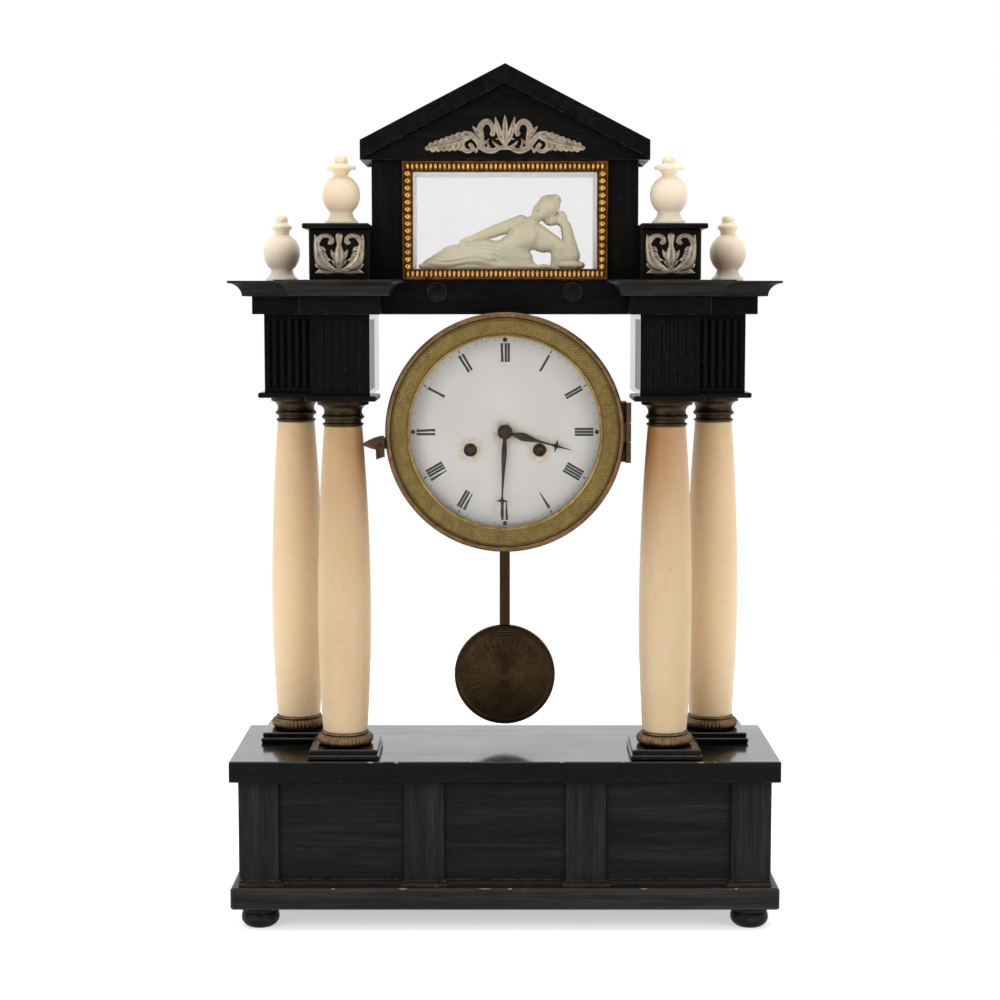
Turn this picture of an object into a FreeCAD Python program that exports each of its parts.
import FreeCAD, Part
import math
import os

import Sketcher

os.makedirs("parts", exist_ok=True)
doc = FreeCAD.newDocument("portico_clock")
sheet = doc.addObject("Spreadsheet::Sheet", "sheet")


# Sizes: a number carried together with the sheet formula that gives it


class Size:
    def __init__(self, value, text):
        self.value = value
        self.text = text

    def __add__(self, other):
        other = as_size(other)
        return Size(self.value + other.value, f"({self.text} + {other.text})")

    def __sub__(self, other):
        other = as_size(other)
        return Size(self.value - other.value, f"({self.text} - {other.text})")

    def __mul__(self, other):
        other = as_size(other)
        return Size(self.value * other.value, f"({self.text} * {other.text})")

    def __truediv__(self, other):
        other = as_size(other)
        return Size(self.value / other.value, f"({self.text} / {other.text})")

    def __neg__(self):
        return Size(-self.value, f"(0 - {self.text})")


def as_size(number):
    if isinstance(number, Size):
        return number
    return Size(float(number), f"({float(number)!r})")


cells = []


def cell(name, text):
    cells.append(name)
    row = len(cells)
    sheet.set(f"A{row}", name)
    sheet.set(f"B{row}", text)
    sheet.setAlias(f"B{row}", name)
    return Size(float(text), f"sheet.{name}")


zero = as_size(0)

# General fits
edge_break = cell("edge_break", "0.6")
overrun = cell("overrun", "2")
part_gap = cell("part_gap", "0.4")
running_gap = cell("running_gap", "0.06")

# Feet and base
slab_width = cell("slab_width", "333")
slab_depth = cell("slab_depth", "108")
slab_thickness = cell("slab_thickness", "13")
foot_height = cell("foot_height", "13.5")
foot_radius = cell("foot_radius", "12")
foot_sole_radius = cell("foot_sole_radius", "8")
foot_neck_radius = cell("foot_neck_radius", "9")
foot_inset = cell("foot_inset", "16.5")
plinth_height = cell("plinth_height", "13.5")
carcass_margin = cell("carcass_margin", "4.8")
carcass_height = cell("carcass_height", "65")
carcass_wall = cell("carcass_wall", "8")
panel_setback = cell("panel_setback", "9")
carcass_rear_margin = cell("carcass_rear_margin", "4")
stile_width = cell("stile_width", "24.4")
stile_thickness = cell("stile_thickness", "3")
inner_stile_x = cell("inner_stile_x", "49.1")
sill_height = cell("sill_height", "3.6")
sill_slope = cell("sill_slope", "2.6")

# Columns
column_plate_side = cell("column_plate_side", "43.4")
column_plate_step = cell("column_plate_step", "0.9")
column_plate_thickness = cell("column_plate_thickness", "3.25")
front_column_x = cell("front_column_x", "97.7")
rear_column_x = cell("rear_column_x", "131.1")
front_column_setback = cell("front_column_setback", "24.5")
rear_column_setback = cell("rear_column_setback", "73.9")
base_ring_height = cell("base_ring_height", "8.1")
base_ring_radius = cell("base_ring_radius", "16.8")
base_fillet_height = cell("base_fillet_height", "1.5")
shaft_height = cell("shaft_height", "186.6")
shaft_foot_radius = cell("shaft_foot_radius", "13.6")
shaft_belly_radius = cell("shaft_belly_radius", "16")
shaft_top_radius = cell("shaft_top_radius", "11.35")
belly_share = cell("belly_share", "0.38")
capital_height = cell("capital_height", "15.3")
capital_neck_radius = cell("capital_neck_radius", "11.9")
capital_top_radius = cell("capital_top_radius", "15.5")
neck_band_height = cell("neck_band_height", "2")
neck_groove_height = cell("neck_groove_height", "2.4")
neck_groove_depth = cell("neck_groove_depth", "0.9")
capital_rim_height = cell("capital_rim_height", "2.4")
abacus_side = cell("abacus_side", "42.7")
abacus_thickness = cell("abacus_thickness", "3.3")
tie_radius = cell("tie_radius", "2.5")
tie_head_radius = cell("tie_head_radius", "6")
tie_head_height = cell("tie_head_height", "4")
tie_bite = cell("tie_bite", "20")

# Entablature
frieze_height = cell("frieze_height", "48.2")
block_width = cell("block_width", "34.8")
rear_block_x = cell("rear_block_x", "148.5")
front_block_setback = cell("front_block_setback", "7.9")
rear_block_setback = cell("rear_block_setback", "56")
block_back_setback = cell("block_back_setback", "99.5")
flute_radius = cell("flute_radius", "2.6")
flute_depth = cell("flute_depth", "1")
flute_margin = cell("flute_margin", "3")
architrave_height = cell("architrave_height", "11")
architrave_reach = cell("architrave_reach", "6.6")
cornice_height = cell("cornice_height", "9.3")
cornice_reach = cell("cornice_reach", "13.3")
cornice_fillet = cell("cornice_fillet", "1.5")
beam_setback = cell("beam_setback", "30")
beam_depth = cell("beam_depth", "66")

# Attic, gable and ornament
attic_half_width = cell("attic_half_width", "80.1")
attic_height = cell("attic_height", "71.7")
attic_depth = cell("attic_depth", "62")
attic_wall = cell("attic_wall", "7")
frame_width = cell("frame_width", "123.6")
frame_height = cell("frame_height", "70.8")
frame_band = cell("frame_band", "6.6")
frame_thickness = cell("frame_thickness", "4")
niche_depth = cell("niche_depth", "17")
mirror_thickness = cell("mirror_thickness", "2")
eave_half_width = cell("eave_half_width", "86.6")
eave_thickness = cell("eave_thickness", "11.6")
gable_height = cell("gable_height", "56.5")
gable_reach = cell("gable_reach", "7")
tympanum_recess = cell("tympanum_recess", "3.5")
tympanum_thickness = cell("tympanum_thickness", "8")
mount_thickness = cell("mount_thickness", "3")
mount_width = cell("mount_width", "94")
mount_height = cell("mount_height", "23")
mount_lift = cell("mount_lift", "3.5")
dado_width = cell("dado_width", "36")
dado_height = cell("dado_height", "30.2")
dado_depth = cell("dado_depth", "36")
dado_setback = cell("dado_setback", "9")
dado_cap_thickness = cell("dado_cap_thickness", "3.2")
dado_cap_reach = cell("dado_cap_reach", "3.7")
rosette_width = cell("rosette_width", "28.6")
rosette_height = cell("rosette_height", "23.4")
finial_height = cell("finial_height", "41")
finial_radius = cell("finial_radius", "11.3")
outer_finial_x = cell("outer_finial_x", "139")
figure_length = cell("figure_length", "98")
figure_depth = cell("figure_depth", "13")

# Drum, dial and bezel
dial_height = cell("dial_height", "302.6")
drum_radius = cell("drum_radius", "70.6")
drum_wall = cell("drum_wall", "2")
drum_setback = cell("drum_setback", "17.4")
drum_depth = cell("drum_depth", "38.6")
bezel_radius = cell("bezel_radius", "71.8")
bezel_opening = cell("bezel_opening", "57")
bezel_depth = cell("bezel_depth", "6")
bezel_edge_width = cell("bezel_edge_width", "4.2")
bezel_bead_width = cell("bezel_bead_width", "1.6")
bezel_rebate = cell("bezel_rebate", "1.6")
glass_thickness = cell("glass_thickness", "1.8")
glass_rise = cell("glass_rise", "5")
dial_radius = cell("dial_radius", "66")
dial_thickness = cell("dial_thickness", "1.2")
dial_setback = cell("dial_setback", "20.2")
dial_hole_radius = cell("dial_hole_radius", "3.6")
winding_hole_radius = cell("winding_hole_radius", "4.1")
winding_x = cell("winding_x", "20.8")
winding_drop = cell("winding_drop", "10.9")
hinge_radius = cell("hinge_radius", "1.6")
hinge_height = cell("hinge_height", "36")
hinge_pin_radius = cell("hinge_pin_radius", "0.7")
hinge_leaf_thickness = cell("hinge_leaf_thickness", "1.1")
hinge_leaf_depth = cell("hinge_leaf_depth", "20")
catch_thickness = cell("catch_thickness", "1.2")
catch_drop = cell("catch_drop", "7")
catch_reach = cell("catch_reach", "10.5")
catch_nose = cell("catch_nose", "1.6")
catch_rise = cell("catch_rise", "12")
catch_tail = cell("catch_tail", "9")

# Hands
hand_thickness = cell("hand_thickness", "0.7")
hour_hand_setback = cell("hour_hand_setback", "17.6")
minute_hand_setback = cell("minute_hand_setback", "16.3")
hour_hand_length = cell("hour_hand_length", "42.4")
minute_hand_length = cell("minute_hand_length", "52.4")
hand_boss_radius = cell("hand_boss_radius", "4.5")
hour_angle = cell("hour_angle", "105.2")
minute_angle = cell("minute_angle", "182.4")

# Movement
plate_thickness = cell("plate_thickness", "2")
front_plate_setback = cell("front_plate_setback", "27")
plate_spacing = cell("plate_spacing", "22")
back_plate_radius = cell("back_plate_radius", "56")
pillar_radius = cell("pillar_radius", "3")
pillar_ring_radius = cell("pillar_ring_radius", "49")
pillar_pin_length = cell("pillar_pin_length", "3")
pillar_angle = cell("pillar_angle", "40")
arbor_radius = cell("arbor_radius", "1")
pivot_radius = cell("pivot_radius", "0.6")
wheel_thickness = cell("wheel_thickness", "1.2")
pinion_length = cell("pinion_length", "2")
winding_arbor_radius = cell("winding_arbor_radius", "2.2")
winding_square_side = cell("winding_square_side", "3")
winding_square_setback = cell("winding_square_setback", "22.9")
barrel_radius = cell("barrel_radius", "16.5")
barrel_depth = cell("barrel_depth", "11.4")
hour_pipe_radius = cell("hour_pipe_radius", "2.9")
cannon_radius = cell("cannon_radius", "1.9")
motion_distance = cell("motion_distance", "12")
centre_wheel_radius = cell("centre_wheel_radius", "18")
third_wheel_radius = cell("third_wheel_radius", "14.85")
escape_radius = cell("escape_radius", "11.5")
pin_wheel_radius = cell("pin_wheel_radius", "14.4")
third_angle = cell("third_angle", "55")
pin_angle = cell("pin_angle", "100")
fly_angle = cell("fly_angle", "60")
fly_radius = cell("fly_radius", "9")
fly_length = cell("fly_length", "7")
pallet_rise = cell("pallet_rise", "47.3")
pallet_gap = cell("pallet_gap", "1.4")
pallet_thickness = cell("pallet_thickness", "2")
pallet_half_span = cell("pallet_half_span", "42")
crutch_length = cell("crutch_length", "40")
crutch_width = cell("crutch_width", "2.4")
rod_setback = cell("rod_setback", "63")
rod_width = cell("rod_width", "6.4")
rod_thickness = cell("rod_thickness", "1.6")
bob_height = cell("bob_height", "146.8")
bob_radius = cell("bob_radius", "31.7")
bob_thickness = cell("bob_thickness", "9")
bob_rim = cell("bob_rim", "3")
trunnion_radius = cell("trunnion_radius", "1.1")
cock_width = cell("cock_width", "14")
cock_thickness = cell("cock_thickness", "2.2")
bell_radius = cell("bell_radius", "27")
bell_depth = cell("bell_depth", "17")
bell_wall = cell("bell_wall", "1.4")
bell_setback = cell("bell_setback", "72")
bell_rise = cell("bell_rise", "5")
post_radius = cell("post_radius", "2.5")
post_x = cell("post_x", "34")
post_drop = cell("post_drop", "30")
hammer_x = cell("hammer_x", "44")
hammer_drop = cell("hammer_drop", "14")
hammer_head_radius = cell("hammer_head_radius", "3")
hammer_gap = cell("hammer_gap", "1.6")
hammer_arm_width = cell("hammer_arm_width", "2")
hammer_tail_gap = cell("hammer_tail_gap", "2.8")

doc.recompute()

# Levels above the table
plinth_floor = foot_height
carcass_floor = plinth_floor + plinth_height
slab_floor = carcass_floor + carcass_height
slab_top = slab_floor + slab_thickness
ring_floor = slab_top + column_plate_thickness * 2
shaft_floor = ring_floor + base_ring_height
shaft_top = shaft_floor + shaft_height
abacus_floor = shaft_top + capital_height
frieze_floor = abacus_floor + abacus_thickness
architrave_floor = frieze_floor + frieze_height
cornice_floor = architrave_floor + architrave_height
cornice_top = cornice_floor + cornice_height
attic_top = cornice_top + attic_height
apex = attic_top + gable_height

# Depths: the cornice is the foremost piece and the slab the rearmost, and the origin lies midway
front_overhang = architrave_reach + cornice_reach - front_block_setback
slab_front = (front_overhang - slab_depth) / 2


def behind(setback):
    return slab_front + setback


# Widths of the stepped piers
block_inner_x = front_column_x - block_width / 2
block_outer_x = front_column_x + block_width / 2
architrave_inner_x = block_inner_x - architrave_reach

node_objects = []


# Building helpers


def bind(thing, name, size):
    thing.setExpression(name, as_size(size).text)


def keep(thing, label):
    thing.Label = label
    node_objects.append(thing)
    return thing


def place(thing, across, depth, up):
    bind(thing, "Placement.Base.x", across)
    bind(thing, "Placement.Base.y", depth)
    bind(thing, "Placement.Base.z", up)


def pin_down(sketch, geometry, corner, across, up):
    for kind, size in (("DistanceX", as_size(across)), ("DistanceY", as_size(up))):
        row = sketch.addConstraint(Sketcher.Constraint(kind, -1, 1, geometry, corner, size.value))
        sketch.setExpression(f"Constraints[{row}]", size.text)


def arc_between(start, end, radius, turn):
    middle = (start + end) / 2
    chord = end - start
    side = FreeCAD.Vector(-chord.y, chord.x, 0).normalize()
    reach = math.sqrt(max(radius**2 - (chord.Length / 2) ** 2, 0))
    centre = middle + side * reach * turn
    first, last = (start, end) if turn > 0 else (end, start)
    begin = math.atan2(first.y - centre.y, first.x - centre.x)
    finish = math.atan2(last.y - centre.y, last.x - centre.x)
    circle = Part.Circle(centre, FreeCAD.Vector(0, 0, 1), radius)
    return Part.ArcOfCircle(circle, begin, finish)


def new_sketch(body, role, name):
    sketch = body.newObject("Sketcher::SketchObject", name)
    planes = [feature for feature in body.Origin.OriginFeatures if feature.Role == role]
    sketch.AttachmentSupport = (planes[0], [""])
    sketch.MapMode = "FlatFace"
    return sketch


def draw_loop(sketch, corners):
    """A closed loop. A corner is (across, up), or (across, up, radius, turn) for an arc that arrives there."""
    spots = [FreeCAD.Vector(as_size(c[0]).value, as_size(c[1]).value, 0) for c in corners]
    ends = []
    for index, corner in enumerate(corners):
        start, end = spots[index - 1], spots[index]
        if len(corner) == 2:
            geometry = sketch.addGeometry(Part.LineSegment(start, end), False)
            ends.append((geometry, 1, 2))
            continue
        radius, turn = corner[2], corner[3]
        arc = arc_between(start, end, radius.value, turn)
        geometry = sketch.addGeometry(arc, False)
        ends.append((geometry, 1, 2) if turn > 0 else (geometry, 2, 1))
        row = sketch.addConstraint(Sketcher.Constraint("Radius", geometry, radius.value))
        sketch.setExpression(f"Constraints[{row}]", radius.text)
    for index, corner in enumerate(corners):
        arriving = ends[index]
        leaving = ends[(index + 1) % len(ends)]
        sketch.addConstraint(
            Sketcher.Constraint("Coincident", arriving[0], arriving[2], leaving[0], leaving[1])
        )
        pin_down(sketch, arriving[0], arriving[2], corner[0], corner[1])


def draw_hole(sketch, across, up, radius):
    across, up = as_size(across), as_size(up)
    circle = Part.Circle(FreeCAD.Vector(across.value, up.value, 0), FreeCAD.Vector(0, 0, 1), radius.value)
    geometry = sketch.addGeometry(circle, False)
    row = sketch.addConstraint(Sketcher.Constraint("Radius", geometry, radius.value))
    sketch.setExpression(f"Constraints[{row}]", radius.text)
    pin_down(sketch, geometry, 3, across, up)


def turned(name, corners, axis="up"):
    """A turned piece. Corners are (radius, height) on an upright axis, or (radius, depth) on one along the depth."""
    body = doc.addObject("PartDesign::Body", name)
    sketch = new_sketch(body, "XZ_Plane" if axis == "up" else "XY_Plane", name + "_profile")
    draw_loop(sketch, corners)
    turn = body.newObject("PartDesign::Revolution", name + "_turn")
    turn.Profile = sketch
    turn.ReferenceAxis = (sketch, ["V_Axis"])
    turn.Angle = 360
    return body


def padded(name, corners, thickness, facing="up", holes=(), eased=None):
    """A flat piece: its outline lies on the ground plane, or upright across the front with its thickness going back."""
    body = doc.addObject("PartDesign::Body", name)
    sketch = new_sketch(body, "XY_Plane" if facing == "up" else "XZ_Plane", name + "_outline")
    draw_loop(sketch, corners)
    for hole in holes:
        if len(hole) == 3:
            draw_hole(sketch, *hole)
        else:
            draw_loop(sketch, list(hole))
    pad = body.newObject("PartDesign::Pad", name + "_pad")
    pad.Profile = sketch
    bind(pad, "Length", thickness)
    pad.Reversed = facing != "up"
    if eased is not None:
        doc.recompute()
        straight = [
            f"Edge{number + 1}"
            for number, edge in enumerate(pad.Shape.Edges)
            if isinstance(edge.Curve, Part.Line)
        ]
        chamfer = body.newObject("PartDesign::Chamfer", name + "_eased")
        chamfer.Base = (pad, straight)
        bind(chamfer, "Size", eased)
    return body


def rectangle(across_from, across_to, up_from, up_to):
    return [(across_from, up_from), (across_to, up_from), (across_to, up_to), (across_from, up_to)]


def board(name, across, depth, up, holes=(), eased=edge_break):
    """A rectangular board between three pairs of limits, with its edges eased."""
    outline = rectangle(across[0], across[1], depth[0], depth[1])
    body = padded(name, outline, as_size(up[1]) - up[0], holes=holes, eased=eased)
    bind(body, "Placement.Base.z", up[0])
    return body


def box(name, across, depth, up):
    solid = doc.addObject("Part::Box", name)
    for side, span in (("Length", across), ("Width", depth), ("Height", up)):
        bind(solid, side, as_size(span[1]) - span[0])
    place(solid, across[0], depth[0], up[0])
    return solid


back_turn = FreeCAD.Rotation(FreeCAD.Vector(1, 0, 0), -90)
side_turn = FreeCAD.Rotation(FreeCAD.Vector(0, 1, 0), 90)
up_turn = FreeCAD.Rotation()


def rod(name, radius, length, start, turn=back_turn):
    solid = doc.addObject("Part::Cylinder", name)
    bind(solid, "Radius", radius)
    bind(solid, "Height", length)
    solid.Placement.Rotation = turn
    place(solid, *start)
    return solid


def cut(name, base, tools):
    result = doc.addObject("Part::Cut", name)
    result.Base = base
    result.Tool = tools[0] if len(tools) == 1 else join(name + "_tools", tools)
    return result


def join(name, pieces):
    result = doc.addObject("Part::MultiFuse", name)
    result.Shapes = pieces
    return result


def group(label, pieces):
    result = doc.addObject("Part::Compound", label)
    result.Links = pieces
    return keep(result, label)


def mirror_of(name, source):
    result = doc.addObject("Part::Mirroring", name)
    result.Source = source
    result.Base = FreeCAD.Vector(0, 0, 0)
    result.Normal = FreeCAD.Vector(1, 0, 0)
    return result


def column_spots():
    return (
        ("front_left", -front_column_x, behind(front_column_setback)),
        ("front_right", front_column_x, behind(front_column_setback)),
        ("rear_left", -rear_column_x, behind(rear_column_setback)),
        ("rear_right", rear_column_x, behind(rear_column_setback)),
    )


# Bun feet
def make_feet():
    feet = []
    belly = foot_height / 2
    under = foot_radius - foot_sole_radius
    over = foot_radius - foot_neck_radius
    lower_curve = (belly * belly + under * under) / (under * 2)
    upper_curve = (belly * belly + over * over) / (over * 2)
    corners = [
        (zero, zero),
        (foot_sole_radius, zero),
        (foot_radius, belly, lower_curve, 1),
        (foot_neck_radius, foot_height, upper_curve, 1),
        (zero, foot_height),
    ]
    for index, (side, setback) in enumerate(
        ((-1, foot_inset), (1, foot_inset), (-1, slab_depth - foot_inset), (1, slab_depth - foot_inset))
    ):
        foot = turned(f"foot_{index}", corners)
        place(foot, (slab_width / 2 - foot_inset) * side, behind(setback), zero)
        feet.append(foot)
    group("bun_feet", feet)


# Base: bottom board, hollow carcass with recessed panels, stiles, sills and top slab
def make_base():
    half = slab_width / 2
    depth = (behind(zero), behind(slab_depth))
    keep(board("plinth_board", (-half, half), depth, (plinth_floor, carcass_floor), eased=edge_break * 2),
         "base_plinth")

    front = behind(panel_setback)
    rear = behind(slab_depth - carcass_rear_margin)
    side = half - carcass_margin
    levels = (carcass_floor, slab_floor)
    outer = box("carcass_block", (-side, side), (front, rear), levels)
    inside = box(
        "carcass_hollow",
        (-side + carcass_wall, side - carcass_wall),
        (front + carcass_wall, rear - carcass_wall),
        (carcass_floor - overrun, slab_floor + overrun),
    )
    keep(cut("carcass_cut", outer, [inside]), "base_carcass")

    outer_stile_x = side - stile_width / 2
    stiles = []
    for index, centre in enumerate((-outer_stile_x, -inner_stile_x, inner_stile_x, outer_stile_x)):
        across = (centre - stile_width / 2, centre + stile_width / 2)
        stiles.append(board(f"stile_{index}", across, (front - stile_thickness, front), levels))
    group("base_stiles", stiles)

    sills = []
    gaps = (
        (-outer_stile_x, -inner_stile_x),
        (-inner_stile_x, inner_stile_x),
        (inner_stile_x, outer_stile_x),
    )
    for index, (left, right) in enumerate(gaps):
        start = left + stile_width / 2
        stop = right - stile_width / 2
        profile = doc.addObject("Part::Wedge", f"sill_{index}")
        for name, size in (
            ("Xmin", start),
            ("Xmax", stop),
            ("X2min", start),
            ("X2max", stop),
            ("Ymin", carcass_floor),
            ("Ymax", carcass_floor + sill_height),
            ("Zmin", -front),
            ("Zmax", -front + stile_thickness),
            ("Z2min", -front),
            ("Z2max", -front + stile_thickness - sill_slope),
        ):
            bind(profile, name, size)
        profile.Placement.Rotation = FreeCAD.Rotation(FreeCAD.Vector(1, 0, 0), 90)
        sills.append(profile)
    group("base_sills", sills)

    bolt_bore = tie_radius + part_gap
    holes = [(across, back, bolt_bore) for _, across, back in column_spots()]
    keep(board("slab_board", (-half, half), depth, (slab_floor, slab_top), holes=holes), "base_top")


# Columns: plates, turned base rings, swelling shafts, capitals, abaci and the bolts that hold each stack
def make_columns():
    bore = tie_radius + part_gap
    swell = shaft_belly_radius - shaft_foot_radius
    taper = shaft_belly_radius - shaft_top_radius
    belly = shaft_height * belly_share
    upper = shaft_height - belly
    lower_curve = (belly * belly + swell * swell) / (swell * 2)
    upper_curve = (upper * upper + taper * taper) / (taper * 2)
    shaft = [
        (bore, zero),
        (shaft_foot_radius, zero),
        (shaft_belly_radius, belly, lower_curve, 1),
        (shaft_top_radius, shaft_height, upper_curve, 1),
        (bore, shaft_height),
    ]
    torus = (base_ring_height - base_fillet_height) / 2
    waist = base_ring_radius - torus
    ring = [
        (bore, zero),
        (waist, zero),
        (base_ring_radius, torus, torus, 1),
        (waist, torus * 2, torus, 1),
        (waist, base_ring_height),
        (bore, base_ring_height),
    ]
    band = neck_band_height
    groove = band + neck_groove_height
    collar = groove + band
    ovolo_top = capital_height - capital_rim_height
    ovolo_rise = ovolo_top - collar
    spread = capital_top_radius - capital_neck_radius
    ovolo = (ovolo_rise * ovolo_rise + spread * spread) / (spread * 2)
    capital = [
        (bore, zero),
        (capital_neck_radius, zero),
        (capital_neck_radius, band),
        (capital_neck_radius - neck_groove_depth, band),
        (capital_neck_radius - neck_groove_depth, groove),
        (capital_neck_radius + neck_groove_depth, groove),
        (capital_neck_radius + neck_groove_depth, collar),
        (capital_neck_radius, collar),
        (capital_top_radius, ovolo_top, ovolo, 1),
        (capital_top_radius, capital_height),
        (bore, capital_height),
    ]
    plates, rings, capitals, abaci, bolts, shafts = [], [], [], [], [], {}
    for name, across, depth in column_spots():
        for level, shrink in ((0, zero), (1, column_plate_step)):
            half = column_plate_side / 2 - shrink
            floor = slab_top + column_plate_thickness * level
            plates.append(
                board(
                    f"plate_{name}_{level}",
                    (across - half, across + half),
                    (depth - half, depth + half),
                    (floor, floor + column_plate_thickness),
                    holes=[(across, depth, bore)],
                )
            )
        base = turned(f"ring_{name}", ring)
        place(base, across, depth, ring_floor)
        rings.append(base)
        column = turned(f"shaft_{name}_body", shaft)
        place(column, across, depth, shaft_floor)
        shafts[name] = column
        head = turned(f"capital_{name}", capital)
        place(head, across, depth, shaft_top)
        capitals.append(head)
        half = abacus_side / 2
        abaci.append(
            board(
                f"abacus_{name}",
                (across - half, across + half),
                (depth - half, depth + half),
                (abacus_floor, frieze_floor),
                holes=[(across, depth, bore)],
            )
        )
        shank_length = frieze_floor + tie_bite - slab_floor
        shank = rod(f"shank_{name}", tie_radius, shank_length, (across, depth, slab_floor), up_turn)
        head_start = slab_floor - tie_head_height
        bolt_head = rod(f"bolt_head_{name}", tie_head_radius, tie_head_height, (across, depth, head_start), up_turn)
        bolts.append(join(f"bolt_{name}", [shank, bolt_head]))
    group("column_plates", plates)
    group("column_rings", rings)
    for row in ("front", "rear"):
        group(f"shafts_{row}", [shafts[f"{row}_left"], shafts[f"{row}_right"]])
    group("column_capitals", capitals)
    group("column_abaci", abaci)
    group("column_bolts", bolts)


# Frieze blocks: a stepped pier head over each pair of columns, with shallow flutes
def flute_row(name, start, stop, fixed, along_front):
    """Round cutters spread along one face; fixed is the depth or the side position of that face."""
    flute_count = 6
    flutes = []
    run = stop - start - flute_margin * 2
    for index in range(flute_count):
        along = start + flute_margin + run * ((index * 2 + 1) / (flute_count * 2))
        spot = (along, fixed) if along_front else (fixed, along)
        flutes.append(
            rod(
                f"{name}_{index}",
                flute_radius,
                frieze_height - flute_margin * 2,
                (spot[0], spot[1], frieze_floor + flute_margin),
                up_turn,
            )
        )
    return flutes


def make_frieze():
    front = behind(front_block_setback)
    step = behind(rear_block_setback)
    rear = behind(block_back_setback)
    outline = [
        (block_inner_x, front),
        (block_outer_x, front),
        (block_outer_x, step),
        (rear_block_x, step),
        (rear_block_x, rear),
        (block_inner_x, rear),
    ]
    block = padded("frieze_block", outline, frieze_height)
    bind(block, "Placement.Base.z", frieze_floor)
    out = flute_radius - flute_depth
    cutters = flute_row("flute_front", block_inner_x, block_outer_x, front - out, True)
    cutters += flute_row("flute_step", block_outer_x, rear_block_x, step - out, True)
    cutters += flute_row("flute_side", front, step, block_outer_x + out, False)
    cutters += flute_row("flute_end", step, rear, rear_block_x + out, False)
    cutters += flute_row("flute_inner", front, step, block_inner_x - out, False)
    for name, across, depth in column_spots()[1::2]:
        start = (across, depth, frieze_floor - overrun)
        cutters.append(rod(f"socket_{name}", tie_radius + part_gap, tie_bite + overrun + part_gap, start, up_turn))
    right = keep(cut("frieze_cut", block, cutters), "frieze_right")
    keep(mirror_of("frieze_mirror", right), "frieze_left")


# Architrave and cornice over each pier
def make_entablature():
    reach = architrave_reach
    front = behind(front_block_setback) - reach
    step = behind(rear_block_setback) - reach
    rear = behind(block_back_setback)
    outer = block_outer_x + reach
    end = rear_block_x + reach
    outline = [
        (architrave_inner_x, front),
        (outer, front),
        (outer, step),
        (end, step),
        (end, rear),
        (architrave_inner_x, rear),
    ]
    band = padded("architrave_band", outline, architrave_height)
    bind(band, "Placement.Base.z", cornice_floor - architrave_height)
    group("architrave_bands", [band, mirror_of("architrave_band_left", band)])

    levels = (cornice_floor, cornice_top)
    cove = cornice_height - cornice_fillet
    run = slab_depth + slab_width

    def cove_cutter(name, across, depth, turn):
        return rod(name, cove, run, (across, depth, cornice_floor), turn)

    lip = cornice_reach
    fore = box("cornice_fore", (architrave_inner_x - lip, outer + lip), (front - lip, behind(beam_setback)), levels)
    fore_cuts = [
        cove_cutter("cove_fore_front", architrave_inner_x - run / 2, front - lip, side_turn),
        cove_cutter("cove_fore_inner", architrave_inner_x - lip, front - lip - overrun, back_turn),
        cove_cutter("cove_fore_outer", outer + lip, front - lip - overrun, back_turn),
    ]
    link = box("cornice_link", (architrave_inner_x, outer + lip), (behind(beam_setback) - overrun, rear), levels)
    link_cut = cove_cutter("cove_link_outer", outer + lip, front - lip - overrun, back_turn)
    back = box("cornice_back", (architrave_inner_x, end + lip), (step - lip, rear), levels)
    back_cuts = [
        cove_cutter("cove_back_front", outer, step - lip, side_turn),
        cove_cutter("cove_back_end", end + lip, front - lip, back_turn),
    ]
    pieces = [
        cut("cornice_fore_cut", fore, fore_cuts),
        cut("cornice_link_cut", link, [link_cut]),
        cut("cornice_back_cut", back, back_cuts),
    ]
    right = keep(join("cornice_whole", pieces), "cornice_right")
    keep(mirror_of("cornice_mirror", right), "cornice_left")

    beam_front = behind(beam_setback)
    beam = box(
        "beam_block",
        (-architrave_inner_x, architrave_inner_x),
        (beam_front, beam_front + beam_depth),
        (architrave_floor, cornice_top),
    )
    notch = rod("beam_notch", drum_radius, beam_depth, (zero, beam_front - overrun, dial_height))
    keep(cut("beam_cut", beam, [notch]), "entablature_beam")


# Attic: case with a window, back board, gilt frame, mirror, shelf and reclining figure
def make_attic():
    front = behind(beam_setback)
    rear = front + attic_depth
    half = attic_half_width
    levels = (cornice_top, attic_top)
    case = box("attic_block", (-half, half), (front, rear), levels)
    hollow = box(
        "attic_hollow",
        (-half + attic_wall, half - attic_wall),
        (front + attic_wall, rear + overrun),
        (cornice_top - overrun, attic_top + overrun),
    )
    middle = (cornice_top + attic_top) / 2
    window_half = frame_width / 2 - frame_band
    window_rise = frame_height / 2 - frame_band
    window = box(
        "attic_window",
        (-window_half, window_half),
        (front - overrun, front + attic_wall + overrun),
        (middle - window_rise, middle + window_rise),
    )
    walls = cut("attic_cut", case, [hollow, window])
    inner = half - attic_wall
    keep(board("attic_back_board", (-inner, inner), (rear - attic_wall, rear), levels), "attic_back")

    outline = rectangle(-frame_width / 2, frame_width / 2, middle - frame_height / 2, middle + frame_height / 2)
    opening = rectangle(-window_half, window_half, middle - window_rise, middle + window_rise)
    frame = padded("frame_strip", outline, frame_thickness, facing="front", holes=[opening], eased=edge_break * 2)
    bind(frame, "Placement.Base.y", front - frame_thickness)
    keep(frame, "window_frame")

    shelf_top = middle - window_rise
    niche_back = front + attic_wall + niche_depth
    shelf = box("attic_shelf", (-inner, inner), (front + attic_wall, niche_back), (cornice_top, shelf_top))
    keep(join("attic_joined", [walls, shelf]), "attic_case")
    mirror = (niche_back, niche_back + mirror_thickness)
    keep(board("mirror_board", (-inner, inner), mirror, levels, eased=edge_break / 2), "mirror_plate")
    make_figure(front + attic_wall + niche_depth / 2, shelf_top)


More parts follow.
